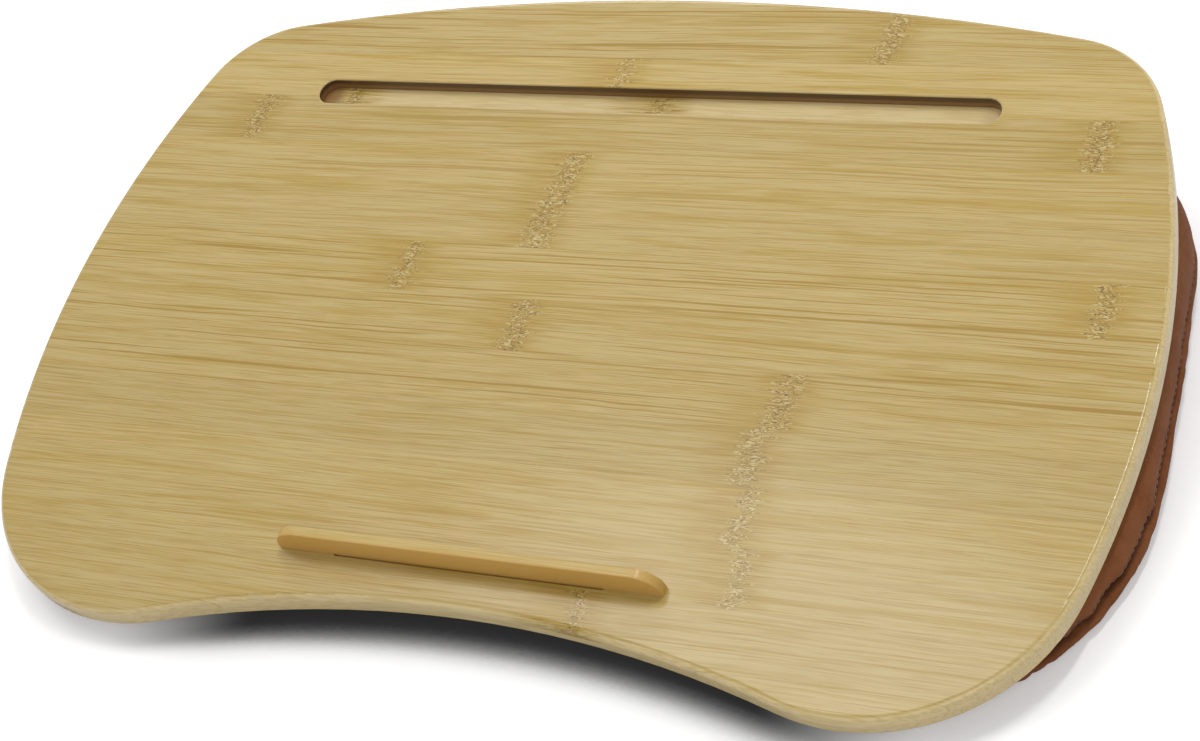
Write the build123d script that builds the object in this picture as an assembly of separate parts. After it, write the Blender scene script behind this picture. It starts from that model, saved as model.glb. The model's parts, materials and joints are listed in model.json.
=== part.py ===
from build123d import *
import math
import os

# Lap tray with a wedge cushion, in millimetres and degrees. X runs across the tray, Y to
# the back and Z up from the surface that the cushion lies on. The board and each level of
# the cushion are drawn flat, with v running from the front lobes to the back, and are then
# opened like the pages of a book about one line in front of the tray.

# Board outline, square to its face
board_width = 450
board_depth = 300
belly_depth = 21
widest_place = 137
side_radius = 348
back_radius = 890
lobe_radius = 73
corner_radius = 45

# Board: two layers of bamboo staves, glued edge to edge and face to face
upper_layer = 4.6
lower_layer = 4.8
stave_width = 23.4
front_stave_width = 10.5
under_stave_width = 21
under_front_width = 25
narrowest_stave = 12
top_round = 2.5
bottom_round = 1

# Groove that a tablet or a book stands in
groove_length = 294
groove_width = 12.4
groove_depth = 5.5
groove_from_back = 52.7
mouth_round = 0.6

# Stop bar, with a tongue glued into a blind slot
bar_length = 154
bar_height = 11.3
bar_thickness = 4
bar_front = 35.5
bar_end_radius = 10.5
bar_nose = 2
bar_arris = 0.5
tongue_length = 106
tongue_depth = 5
glue_gap = 0.1
slot_gap = 0.5

# How the tray stands
tilt = 10
lobe_height = 8

# Cushion cover, measured from the board's outline at the cushion's fullest level
side_swell = 4.5
front_inset = 12
back_inset = 16
cushion_lobe_radius = 66
cushion_corner_radius = 60
foot_inset = 13
head_inset = 9
cover_thickness = 1.2
liner_thickness = 0.8
liner_gap = 0.3

# Levels of the cushion, from the surface below to the board above
fullest_share = 0.6
seam_share = 0.38
level_shares = (0, 0.04, 0.15, 0.38, 0.6, 0.8, 0.92, 0.98, 1)

# Hook-and-loop patches between the board and the cushion
patch_length = 90
patch_width = 22
patch_corner = 3
hook_thickness = 1.2
loop_thickness = 1.4
patch_from_middle = 118
front_patch_place = 66
back_patch_place = 240

# Zip along the back of the band
zip_length = 280
tape_reach = 8
tape_thickness = 0.9
tape_recess = 0.2
coil_reach = 2.4
coil_thickness = 2
coil_slit = 0.8
stop_length = 2.4
stop_wall = 0.7
zip_room = 3.4

# Slider and pull tab
slider_length = 10
slider_wall = 1
slider_gap = 0.25
slider_corner = 2
post_thickness = 0.4
post_length = 2
bail_width = 1.4
bail_foot = 1.5
eye_diameter = 1.2
eye_gap = 0.3
pull_length = 22
pull_width = 6
pull_arm = 1.2
pull_window = 3.2
pull_corner = 2

# How far a cutting tool runs past what it cuts
overrun = 5


def opened(angle, offset):
    # A plane turned up about the line that the pages open about, then moved along its normal
    turn = math.radians(angle)
    normal = Vector(0, -math.sin(turn), math.cos(turn))
    return Plane(origin=normal * offset, x_dir=(1, 0, 0), z_dir=normal)


def board_page():
    # The underside of the board
    return opened(tilt, 0)


def cushion_page(share, skin=0):
    # A level of the cushion: 0 lies on the surface below and 1 on the cushion's top face
    return opened(tilt * share, skin - share * (2 * skin + hook_thickness + loop_thickness))


def on_page(page, shape):
    # Drawings start at the front of the lobes, some way behind the line that the pages share
    return page * (Pos(0, lobe_height / math.sin(math.radians(tilt)), 0) * shape)


def arc(centre, start, end):
    # The short way round a centre
    middle = (start + end) / 2 - centre
    return ThreePointArc(start, centre + middle.normalized() * (start - centre).length, end)


def crossing(centre_a, radius_a, centre_b, radius_b):
    # Where two circles cross, on the right-hand side of the line from a to b
    between = centre_b - centre_a
    along = (radius_a**2 - radius_b**2 + between.length**2) / (2 * between.length)
    aside = math.sqrt(radius_a**2 - along**2)
    forward = between.normalized()
    return centre_a + forward * along + Vector(forward.Y, -forward.X) * aside


def mirrored(point):
    return Vector(-point.X, point.Y)


def outline(side_grow=0, front_in=0, back_in=0, lobe=lobe_radius, turn=corner_radius, inset=0):
    # Belly hollow, two lobes, two bowed sides, two corners and a bowed back, all tangent
    side = Vector(board_width / 2 + side_grow - side_radius, widest_place)
    lobe_v = front_in + lobe
    lobe_x = side.X + math.sqrt((side_radius - lobe) ** 2 - (widest_place - lobe_v) ** 2)
    front = Vector(lobe_x, lobe_v)
    belly_radius = (lobe_x**2 - 2 * lobe * belly_depth + belly_depth**2) / (2 * belly_depth)
    belly = Vector(0, front_in + belly_depth - belly_radius)
    back = Vector(0, board_depth - back_in - back_radius)
    corner = crossing(back, back_radius - turn, side, side_radius - turn)

    belly_end = belly + (front - belly).normalized() * (belly_radius + inset)
    lobe_end = side + (front - side).normalized() * (side_radius - inset)
    side_end = side + (corner - side).normalized() * (side_radius - inset)
    back_end = back + (corner - back).normalized() * (back_radius - inset)
    edges = [
        arc(belly, mirrored(belly_end), belly_end),
        arc(front, belly_end, lobe_end),
        arc(side, lobe_end, side_end),
        arc(corner, side_end, back_end),
        arc(back, back_end, mirrored(back_end)),
        arc(mirrored(corner), mirrored(back_end), mirrored(side_end)),
        arc(mirrored(side), mirrored(side_end), mirrored(lobe_end)),
        arc(mirrored(front), mirrored(lobe_end), mirrored(belly_end)),
    ]
    return Face(Wire(edges))


def slot_tool(length, width, depth, v, top):
    # A round-ended cutter that goes down from the board's face
    shape = Pos(0, v, top - depth) * SlotOverall(length, width)
    return extrude(shape, amount=depth + overrun)


def whole_board():
    thickness = upper_layer + lower_layer
    board = extrude(outline(), amount=thickness)
    board = fillet(board.faces().sort_by(Axis.Z)[-1].edges(), top_round)
    board = fillet(board.faces().sort_by(Axis.Z)[0].edges(), bottom_round)
    groove_v = board_depth - groove_from_back
    board -= slot_tool(groove_length, groove_width, groove_depth, groove_v, thickness)
    mouth = board.faces().sort_by(Axis.Z)[-1].inner_wires()[0]
    board = fillet(mouth.edges(), mouth_round)
    width = bar_thickness + slot_gap + glue_gap
    slot_v = bar_front - slot_gap + width / 2
    board -= slot_tool(tongue_length + width, width, tongue_depth + slot_gap, slot_v, thickness)
    return board


def joints(first, pitch):
    # A last strip that would be too narrow to glue stays on the back stave
    places = [first]
    while places[-1] + pitch < board_depth - narrowest_stave:
        places.append(places[-1] + pitch)
    return places


def strips(layer, places):
    # The solids between the glue joints of one layer, from the front
    box = layer.bounding_box()
    starts = [-overrun] + places
    ends = places + [board_depth + overrun]
    pieces = []
    for start, end in zip(starts, ends):
        span = Box(2 * board_width, end - start, box.size.Z, align=(Align.CENTER, Align.MIN, Align.MIN))
        pieces.append((layer & (Pos(0, start, box.min.Z) * span)).solids())
    return pieces


def staves():
    # The belly cuts the first stave of the upper layer in two, and the layers break joint
    board = whole_board()
    glue_face = Plane.XY.offset(lower_layer)
    upper = split(board, bisect_by=glue_face, keep=Keep.TOP)
    lower = split(board, bisect_by=glue_face, keep=Keep.BOTTOM)
    layers = {
        "stave": strips(upper, joints(front_stave_width, stave_width)),
        "under_stave": strips(lower, joints(under_front_width, under_stave_width)),
    }
    named = {}
    for layer, pieces in layers.items():
        for number, solids in enumerate(pieces, start=1):
            sides = ["_left", "_right"] if len(solids) == 2 else [""]
            for side, solid in zip(sides, solids.sort_by(Axis.X)):
                named[f"{layer}_{number:02d}{side}"] = solid
    return named


def stop_bar():
    # Drawn in elevation, then given its thickness: a tongue, two shoulders and long round ends
    rise = bar_height - bar_nose
    run = math.sqrt(bar_end_radius**2 - (bar_end_radius - rise) ** 2)
    end = bar_length / 2
    tongue = tongue_length / 2
    centre = Vector(end - run, bar_height - bar_end_radius)
    nose = Vector(end, bar_nose)
    crown = Vector(end - run, bar_height)
    edges = [
        Line((-tongue, -tongue_depth), (tongue, -tongue_depth)),
        Line((tongue, -tongue_depth), (tongue, 0)),
        Line((tongue, 0), (end, 0)),
        Line((end, 0), nose),
        arc(centre, nose, crown),
        Line(crown, mirrored(crown)),
        arc(mirrored(centre), mirrored(crown), mirrored(nose)),
        Line(mirrored(nose), (-end, 0)),
        Line((-end, 0), (-tongue, 0)),
        Line((-tongue, 0), (-tongue, -tongue_depth)),
    ]
    upright = Plane(origin=(0, bar_front, upper_layer + lower_layer), x_dir=(1, 0, 0), z_dir=(0, -1, 0))
    bar = extrude(upright * Face(Wire(edges)), amount=-bar_thickness)
    faces = bar.faces().sort_by(Axis.Y)
    rims = faces[0].edges() + faces[-1].edges()
    arrises = [edge for edge in rims if edge.center().Z > upright.origin.Z + bar_nose]
    return fillet(arrises, bar_arris)


def ring_inset(share):
    # The cushion's wall is a quarter ellipse above its fullest level and another below
    if share < fullest_share:
        reach, inset = fullest_share, foot_inset
    else:
        reach, inset = 1 - fullest_share, head_inset
    return inset * (1 - math.sqrt(1 - ((share - fullest_share) / reach) ** 2))


def cushion_outline(inset, slack=0):
    back_in = back_inset + slack
    return outline(side_swell, front_inset, back_in, cushion_lobe_radius, cushion_corner_radius, inset)


def pillow(skin, slack=0):
    # The cushion's form in straight bands, drawn in by a skin all round and by more at the back
    rings = []
    for share in level_shares:
        face = cushion_outline(ring_inset(share) + skin, slack)
        rings.append(on_page(cushion_page(share, skin), face))
    return loft(rings, ruled=True)


def zip_centre():
    # Centre of the bowed back at the cushion's fullest level, in the page's own frame
    return Vector(0, board_depth - back_inset - back_radius)


def zip_strip(near, far, low, high, length, middle=0):
    # A bent bar along the back: near and far from the band's face, low and high across the zip
    upward = (Align.CENTER, Align.CENTER, Align.MIN)
    outer = Cylinder(back_radius + far, high - low, align=upward)
    inner = Cylinder(back_radius + near, high - low, align=upward)
    span = Pos(middle, back_radius, 0) * Box(length, back_radius, high - low, align=upward)
    return Pos(0, zip_centre().Y, low) * ((outer - inner) & span)


def cover(outer, inner):
    # Top panel, band and bottom panel, cut from one hollow form at its two seams
    shell = outer - inner
    top_seam = cushion_page(1, cover_thickness)
    low_seam = cushion_page(seam_share)
    top = split(shell, bisect_by=top_seam, keep=Keep.TOP)
    lower = split(shell, bisect_by=top_seam, keep=Keep.BOTTOM)
    band = split(lower, bisect_by=low_seam, keep=Keep.TOP)
    bottom = split(lower, bisect_by=low_seam, keep=Keep.BOTTOM)
    opening = zip_strip(-zip_room, overrun, -tape_reach, tape_reach, zip_length)
    band -= on_page(cushion_page(fullest_share), opening)
    return {"cover_top_panel": top, "cover_band": band, "cover_bottom_panel": bottom}


def patches(thickness, base):
    # Four patches of one tape, two near the front and two near the back
    pieces = []
    for v in (front_patch_place, back_patch_place):
        for x in (-patch_from_middle, patch_from_middle):
            shape = Pos(x, v, base) * RectangleRounded(patch_length, patch_width, patch_corner)
            pieces.append(extrude(shape, amount=thickness))
    return pieces


def zip_parts():
    # Two tapes, a coil on the edge of each, and a stop round both coils at either end
    coil_far = coil_thickness / 2
    tape_near = -tape_recess - tape_thickness
    coil_low = coil_slit / 2
    inner = zip_length - 2 * stop_length
    stop_place = (zip_length - stop_length) / 2
    parts = {
        "zip_tape_upper": [zip_strip(tape_near, -tape_recess, coil_reach, tape_reach, zip_length)],
        "zip_tape_lower": [zip_strip(tape_near, -tape_recess, -tape_reach, -coil_reach, zip_length)],
        "zip_coil_upper": [zip_strip(-coil_far, coil_far, coil_low, coil_reach, inner)],
        "zip_coil_lower": [zip_strip(-coil_far, coil_far, -coil_reach, -coil_low, inner)],
        "zip_stops": [
            zip_strip(-coil_far, coil_far + stop_wall, -coil_reach, coil_reach, stop_length, side * stop_place)
            for side in (-1, 1)
        ],
    }
    return parts


def slider_frame():
    # At the closed end of the zip: X along the zip, Y across it, Z out of the band
    middle = zip_length / 2 - stop_length - slider_gap - slider_length / 2
    turn = math.asin(middle / back_radius)
    out = Vector(math.sin(turn), math.cos(turn), 0)
    return Plane(origin=zip_centre() + out * back_radius, x_dir=(out.Y, -out.X, 0), z_dir=out)


def coil_room():
    return coil_thickness / 2 + slider_gap


def slider_solid():
    # Two plates held apart by a post that runs between the coils, and a bail for the pull
    half_width = coil_reach + slider_gap + slider_wall
    plate = RectangleRounded(slider_length, 2 * half_width, slider_corner)
    room = coil_room()
    body = extrude(Pos(0, 0, room) * plate, amount=slider_wall)
    body += extrude(Pos(0, 0, -room) * plate, amount=-slider_wall)
    post_x = slider_length / 2 - post_length / 2
    body += Pos(post_x, 0, 0) * Box(post_length, post_thickness, 2 * room + slider_wall)
    flange_y = half_width - slider_wall / 2
    flange_length = slider_length - 2 * slider_corner
    flange_drop = room + tape_recess - slider_gap
    for side in (-1, 1):
        flange = Box(flange_length, slider_wall, flange_drop, align=(Align.CENTER, Align.CENTER, Align.MAX))
        body += Pos(0, side * flange_y, room) * flange
    clear = eye_diameter + 2 * eye_gap
    bail_length = clear + 2 * bail_foot
    bail = Box(bail_length, bail_width, clear + bail_foot, align=(Align.CENTER, Align.CENTER, Align.MIN))
    bail -= Box(clear, 2 * bail_width, clear, align=(Align.CENTER, Align.CENTER, Align.MIN))
    return body + Pos(0, 0, room + slider_wall) * bail


def eye_height():
    return coil_room() + slider_wall + eye_gap + eye_diameter / 2


def pull_solid():
    # A flat tab with a window, whose end bar turns under the bail
    tab = RectangleRounded(pull_length, pull_width, pull_corner)
    tab = Pos(eye_diameter / 2 - pull_length / 2, 0, 0) * tab
    window_width = pull_width - 2 * pull_arm
    window = Rectangle(pull_window, window_width, align=(Align.MAX, Align.CENTER))
    tab -= Pos(-eye_diameter / 2, 0, 0) * window
    flat = extrude(Pos(0, 0, -eye_diameter / 2) * tab, amount=eye_diameter)
    return Pos(0, 0, eye_height()) * flat


def make_pieces():
    pieces = {}
    thickness = upper_layer + lower_layer
    under = board_page()
    for name, solid in staves().items():
        pieces[name] = [on_page(under, solid)]
    pieces["stop_bar"] = [on_page(under, stop_bar())]
    pieces["hook_patches"] = [on_page(under, patch) for patch in patches(hook_thickness, -hook_thickness)]
    loop_base = -hook_thickness - loop_thickness
    pieces["loop_patches"] = [on_page(under, patch) for patch in patches(loop_thickness, loop_base)]

    outer = pillow(0)
    cavity = pillow(cover_thickness)
    liner_skin = cover_thickness + liner_gap
    liner = pillow(liner_skin, zip_room)
    fill = pillow(liner_skin + liner_thickness, zip_room)
    for name, panel in cover(outer, cavity).items():
        pieces[name] = [panel]
    pieces["liner_bag"] = [liner - fill]
    pieces["bead_fill"] = [fill]

    zip_page = cushion_page(fullest_share)
    for name, solids in zip_parts().items():
        pieces[name] = [on_page(zip_page, solid) for solid in solids]
    seat = slider_frame()
    pieces["zip_slider"] = [on_page(zip_page, seat * slider_solid())]
    pieces["zip_pull"] = [on_page(zip_page, seat * pull_solid())]
    return pieces


def centring(pieces):
    # The move that stands the whole tray over the origin
    solids = [solid for shapes in pieces.values() for shape in shapes for solid in shape.solids()]
    box = Compound(solids).bounding_box()
    return Pos(-box.center().X, -box.center().Y, -box.min.Z)


def write_parts(pieces):
    os.makedirs("parts", exist_ok=True)
    move = centring(pieces)
    for name, shapes in pieces.items():
        solids = [move * solid for shape in shapes for solid in shape.solids()]
        export_step(solids[0] if len(solids) == 1 else Compound(solids), f"parts/{name}.step")


write_parts(make_pieces())
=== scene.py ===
import json
import math
import random

import bmesh
import bpy
from mathutils import Matrix, Quaternion, Vector, noise
from mathutils.bvhtree import BVHTree


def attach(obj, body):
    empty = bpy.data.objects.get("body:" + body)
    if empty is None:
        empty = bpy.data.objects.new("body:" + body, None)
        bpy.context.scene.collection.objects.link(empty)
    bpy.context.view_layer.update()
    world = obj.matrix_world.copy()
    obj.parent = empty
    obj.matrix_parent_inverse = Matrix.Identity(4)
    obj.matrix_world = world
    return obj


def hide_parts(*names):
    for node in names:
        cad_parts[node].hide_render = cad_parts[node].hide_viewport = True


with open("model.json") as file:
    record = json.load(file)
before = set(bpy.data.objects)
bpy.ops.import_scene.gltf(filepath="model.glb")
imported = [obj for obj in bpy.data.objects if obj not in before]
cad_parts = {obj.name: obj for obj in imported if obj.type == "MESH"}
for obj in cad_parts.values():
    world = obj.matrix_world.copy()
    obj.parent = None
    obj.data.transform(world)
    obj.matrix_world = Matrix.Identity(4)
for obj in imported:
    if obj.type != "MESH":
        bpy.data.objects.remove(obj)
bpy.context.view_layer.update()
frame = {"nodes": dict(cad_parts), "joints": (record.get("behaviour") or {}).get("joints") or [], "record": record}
nodes = frame["nodes"]
mm = 0.001
random.seed(7)

# The board's own directions: x across it, v back from the front of the lobes, h up from its top face
trayTop = next(mount for mount in frame["record"]["mounts"] if mount["name"] == "tray_top")
board = {
    "mountFromFront": 140, "firstEdge": 5, "lastEdge": 290, "beforeFront": -50, "behindBack": 350,
    "barFromFront": 35.5, "barLength": 154,
    "grooveFromFront": 247.3, "grooveLength": 294, "grooveWidth": 12.4,
    "slotFromFront": 37.3, "slotLength": 110.6, "slotWidth": 4.6,
}
boardUp = Vector(trayTop["axis"]).normalized()
boardBack = Vector((0, boardUp.z, -boardUp.y))
boardFront = Vector(trayTop["pos_m"]) - boardBack * board["mountFromFront"] * mm
boardTilt = math.asin(boardBack.z)


def boardPoint(x, v, h=0):
    return boardFront + Vector((x, 0, 0)) * mm + boardBack * v * mm + boardUp * h * mm


def boardPlace(point):
    away = point - boardFront
    return point.x / mm, away.dot(boardBack) / mm, away.dot(boardUp) / mm


# Small helpers for node trees
def plug(tree, node, values):
    for key, value in values.items():
        if isinstance(value, bpy.types.NodeSocket):
            tree.links.new(value, node.inputs[key])
        else:
            node.inputs[key].default_value = value


def addNode(tree, kind, values=None, **settings):
    made = tree.nodes.new(kind)
    for name, value in settings.items():
        setattr(made, name, value)
    plug(tree, made, values or {})
    return made


def calc(tree, operation, first, *others):
    # One term, or any number of them worked through in turn
    if not others:
        return addNode(tree, "ShaderNodeMath", {0: first}, operation=operation).outputs[0]
    for other in others:
        first = addNode(tree, "ShaderNodeMath", {0: first, 1: other}, operation=operation).outputs[0]
    return first


def ramp(tree, value, low, high, toLow=0.0, toHigh=1.0):
    values = {"Value": value, "From Min": low, "From Max": high, "To Min": toLow, "To Max": toHigh}
    return addNode(tree, "ShaderNodeMapRange", values, interpolation_type="SMOOTHSTEP").outputs[0]


def opaque(colour):
    return colour if isinstance(colour, bpy.types.NodeSocket) else (*colour, 1)


def blend(tree, share, first, second):
    values = {0: share, 6: opaque(first), 7: opaque(second)}
    return addNode(tree, "ShaderNodeMix", values, data_type="RGBA").outputs[2]


def scaled(colour, times):
    return tuple(times * part for part in colour)


seedShift = (17.3, 31.7, 11.9)  # how far a seed of one moves the noise


def grain(tree, place, stretch, seed=0.0, detail=2.0, rough=0.5, twist=0.0):
    # Noise with its own stretch along each direction
    values = {0: place, 1: stretch, 2: tuple(seed * shift for shift in seedShift)}
    drawn = addNode(tree, "ShaderNodeVectorMath", values, operation="MULTIPLY_ADD").outputs[0]
    values = {"Vector": drawn, "Scale": 1.0, "Detail": detail, "Roughness": rough, "Distortion": twist}
    return addNode(tree, "ShaderNodeTexNoise", values).outputs[0]


def objectPlace(tree):
    return addNode(tree, "ShaderNodeTexCoord").outputs["Object"]


def newMaterial(name):
    made = bpy.data.materials.new(name)
    made.use_nodes = True
    return made, made.node_tree, made.node_tree.nodes["Principled BSDF"]


def putOn(obj, material):
    obj.data.materials.clear()
    obj.data.materials.append(material)


def bumpInto(tree, shader, height, strength, distance):
    values = {"Height": height, "Strength": strength, "Distance": distance * mm}
    tree.links.new(addNode(tree, "ShaderNodeBump", values).outputs[0], shader.inputs["Normal"])


# Bamboo, with depths under the top face in millimetres
bamboo = {
    "cream": (0.56, 0.415, 0.15), "gold": (0.46, 0.295, 0.035), "line": (0.34, 0.195, 0.012),
    # The ochre colour on the next line paints shade on the stop bar's front face, and darkens its rounded ends
    "streak": (0.37, 0.215, 0.008), "ochreAndShade": (0.60, 0.345, 0.085), "side": (0.77, 0.60, 0.30),
    "pale": (0.68, 0.54, 0.25), "fleck": (0.15, 0.075, 0.0), "knot": (0.25, 0.135, 0.0),
    # The scorch colour on the next line browns the pocket walls and also paints shade at the foot of the sides
    "burn": (0.075, 0.03, 0.007), "scorchAndShade": (0.26, 0.13, 0.04),
    "roughest": 0.44, "smoothest": 0.31, "specular": 0.45, "ior": 1.46, "bump": 0.10, "relief": 0.10,
    "coat": 0.45, "barCoat": 0.05, "coatRoughness": 0.12,
    "glueLine": 0.28, "sideFrom": 0.03, "sideTo": 0.5, "sideShare": 0.88, "footFrom": 8.7, "footTo": 9.3,
    "toneSpread": 0.05, "toneShift": -0.02, "dimBefore": 160, "dimming": 0.0004, "barTone": 0.04,
    "goldLeast": 0.3, "goldMost": 0.7, "goldRise": 0.0012, "linedChoices": (0.3, 0.6, 1.0),
    "skewSpread": 0.008, "wander": 5.0, "wanderStretch": (0.006, 0.012, 0.012),
    "flutter": 0.9, "flutterStretch": (0.035, 0.12, 0.12),
}
# Patterns that follow the fibres: stretch along x, v and h, step of the seed, detail, roughness, twist
fibrePatterns = {
    "lines": ((0.017, 1.75, 1.75), 0, 3.0, 0.75), "fine": ((0.035, 2.4, 2.4), 3, 2.0, 0.7),
    "strong": ((0.006, 0.9, 0.9), 4, 1.0, 0.5), "patches": ((0.012, 0.20, 0.3), 5, 2.0, 0.65, 0.4),
    "dashes": ((0.06, 1.7, 1.7), 8, 1.0, 0.4), "bundles": ((0.05, 1.2, 1.2), 7, 1.0, 0.5),
}
# Each node mark of the culm on the top layer: x, v and half its width
nodeMarks = [
    (-18, 209, 9), (-21, 186, 10), (-72.6, 162.4, 7), (-15.3, 138.7, 8), (97.8, 115.5, 9), (91.9, 91.4, 8),
    (96, 69.6, 6), (100.9, 45.2, 5), (46.9, 26.8, 5), (-170.7, 233.3, 7), (186.3, 233.3, 8), (96.6, 280, 7),
    (-10.1, 261.4, 6), (202, 162.4, 6),
]
grooveMark = (8.4, 246.5, 5)  # on the lower layer, where the groove's floor shows it
markLook = {
    "feather": 17.0, "featherStretch": (0.06, 1.0, 1.0), "leanLeast": -0.05, "leanMost": 0.14,
    "fadeFromShare": 0.25, "fadeToShare": 0.85, "haloLeft": (-30.0, -4.0), "haloRight": (3.0, 16.0),
    "short": (0.26, 0.8, 0.8), "shortTwist": 2.6, "specks": (0.75, 1.15, 1.15),
    "hiddenReach": 190, "hiddenLeast": 5, "hiddenMost": 8,
}
# Scorched walls of the groove and the slot: reach from the wall, depths, and how dark each end is
scorching = {
    "wallFade": (0.12, 0.4), "insideFade": 0.5, "brownBelow": (-1.0, -0.3), "brown": 0.9,
    "burntAbove": (-4.6, -2.4), "endFrom": 11, "endTo": 5, "endBelow": (-3.2, -2.0),
    "endShares": ((-1, 0.8), (1, 0.25)),
}
# How far in from the stop bar's front and ends its darker colour reaches, and how dark; on the front it is painted
# shade
barLook = {
    "faceFrom": 0.3, "faceTo": 0.7, "face": 0.9, "rest": 0.08, "endFrom": 10.5, "endTo": 7.5, "end": 0.5,
}


def boardSpace(tree):
    turn = Matrix.Rotation(-boardTilt, 3, "X")
    values = {
        "Vector": objectPlace(tree), "Location": -(turn @ boardFront) / mm,
        "Rotation": (-boardTilt, 0, 0), "Scale": (1 / mm, 1 / mm, 1 / mm),
    }
    return addNode(tree, "ShaderNodeMapping", values).outputs[0]


def fibreColour(tree, patterns, lined, golden):
    # Each layer: pattern, where it starts and ends, its share at both ends, colour
    layers = (
        ("lines", 0.34, 0.54, 0.0, 1.0, "cream"), ("patches", 0.34, 0.46, 0.5, 0.0, "cream"),
        ("patches", 0.50, 0.64, 0.0, 0.9 * golden, "gold"), ("fine", 0.34, 0.52, 0.42, 0.0, "line"),
        ("fine", 0.54, 0.66, 0.0, 0.5, "cream"), ("strong", 0.60, 0.65, 0.0, lined, "streak"),
        ("dashes", 0.28, 0.36, 0.3, 0.0, "line"),
    )
    base = bamboo["gold"]
    for pattern, start, end, first, last, colour in layers:
        base = blend(tree, ramp(tree, patterns[pattern], start, end, first, last), base, bamboo[colour])
    return base


def sideColour(tree, base, patterns, height):
    # Cut sides show bundle ends, and their foot, next to the cushion, is painted darker as painted shade
    side = blend(tree, ramp(tree, patterns["bundles"], 0.40, 0.56, 0.28, 0.0), bamboo["side"], bamboo["gold"])
    share = ramp(tree, height, -bamboo["sideTo"], -bamboo["sideFrom"], bamboo["sideShare"], 0.0)
    base = blend(tree, share, base, side)
    # Painted shade at the foot of the side, over the gap to the cushion
    footShade = ramp(tree, height, -bamboo["footTo"], -bamboo["footFrom"], 0.5, 0.0)
    return blend(tree, footShade, base, bamboo["scorchAndShade"])


def glueColour(tree, base, along, low, high):
    # A glue line runs along each joint
    edge = calc(tree, "MINIMUM", calc(tree, "SUBTRACT", along, low), calc(tree, "SUBTRACT", high, along))
    return blend(tree, ramp(tree, edge, 0.0, bamboo["glueLine"], 0.35, 0.0), base, bamboo["line"])


def nodeMarkMasks(tree, place, across, along, seed, marks):
    feather = calc(tree, "SUBTRACT", grain(tree, place, markLook["featherStretch"], seed + 2, 1.0), 0.5)
    feather = calc(tree, "MULTIPLY", feather, markLook["feather"])
    here, around = [], []
    for x, v, half in marks:
        slope = random.uniform(markLook["leanLeast"], markLook["leanMost"])
        lean = calc(tree, "MULTIPLY", calc(tree, "SUBTRACT", along, v), slope)
        off = calc(tree, "ADD", calc(tree, "SUBTRACT", across, x, lean), feather)
        start, end = half * markLook["fadeFromShare"], half * markLook["fadeToShare"]
        here.append(ramp(tree, calc(tree, "ABSOLUTE", off), start, end, 1.0, 0.0))
        left = ramp(tree, off, *markLook["haloLeft"])
        right = ramp(tree, off, *markLook["haloRight"], 1.0, 0.0)
        around.append(calc(tree, "MULTIPLY", left, right))
    return calc(tree, "MAXIMUM", 0.0, *here), calc(tree, "MAXIMUM", 0.0, *around)


def markColour(tree, base, patterns, place, across, along, seed, marks):
    mark, halo = nodeMarkMasks(tree, place, across, along, seed, marks)
    short = grain(tree, place, markLook["short"], seed + 4, 1.0, 0.5, markLook["shortTwist"])
    specks = grain(tree, place, markLook["specks"], seed + 6, 0.0)
    rim = calc(tree, "MULTIPLY", ramp(tree, short, 0.38, 0.44), ramp(tree, short, 0.49, 0.53, 1.0, 0.0))
    # Each layer: the mark or its halo, the share there, colour
    layers = (
        (halo, ramp(tree, patterns["bundles"], 0.38, 0.56, 1.0, 0.4), "gold"),
        (halo, ramp(tree, patterns["fine"], 0.38, 0.54, 0.7, 0.0), "line"),
        (mark, ramp(tree, short, 0.54, 0.58, 0.0, 0.75), "pale"),
        (mark, ramp(tree, short, 0.48, 0.56, 0.9, 0.0), "gold"),
        (mark, rim, "knot"),
        (mark, ramp(tree, specks, 0.69, 0.75, 0.0, 0.85), "fleck"),
    )
    for within, share, colour in layers:
        base = blend(tree, calc(tree, "MULTIPLY", within, share), base, bamboo[colour])
    return base


def barColour(tree, base, across, along):
    # The stop bar's front face is painted darker than its top as painted shade; its rounded ends are darker too
    front, half = board["barFromFront"], board["barLength"] / 2
    start, end = front + barLook["faceFrom"], front + barLook["faceTo"]
    face = ramp(tree, along, start, end, barLook["face"], barLook["rest"])
    start, end = half - barLook["endFrom"], half - barLook["endTo"]
    ends = ramp(tree, calc(tree, "ABSOLUTE", across), start, end, 0.0, barLook["end"])
    return blend(tree, calc(tree, "MAXIMUM", face, ends), base, bamboo["ochreAndShade"])


def pocketMasks(tree, across, along, pocket):
    # One mask for the walls of a round-ended pocket and one for all that lies within them
    middle, length, width = pocket
    reach = (length - width) / 2
    past = calc(tree, "MAXIMUM", calc(tree, "SUBTRACT", calc(tree, "ABSOLUTE", across), reach), 0.0)
    off = calc(tree, "SUBTRACT", along, middle)
    squares = [calc(tree, "POWER", term, 2.0) for term in (past, off)]
    away = calc(tree, "SQRT", calc(tree, "ADD", *squares))
    fromWall = calc(tree, "ABSOLUTE", calc(tree, "SUBTRACT", away, width / 2))
    wall = ramp(tree, fromWall, *scorching["wallFade"], 1.0, 0.0)
    return wall, ramp(tree, away, width / 2, width / 2 + scorching["insideFade"], 1.0, 0.0)


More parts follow.
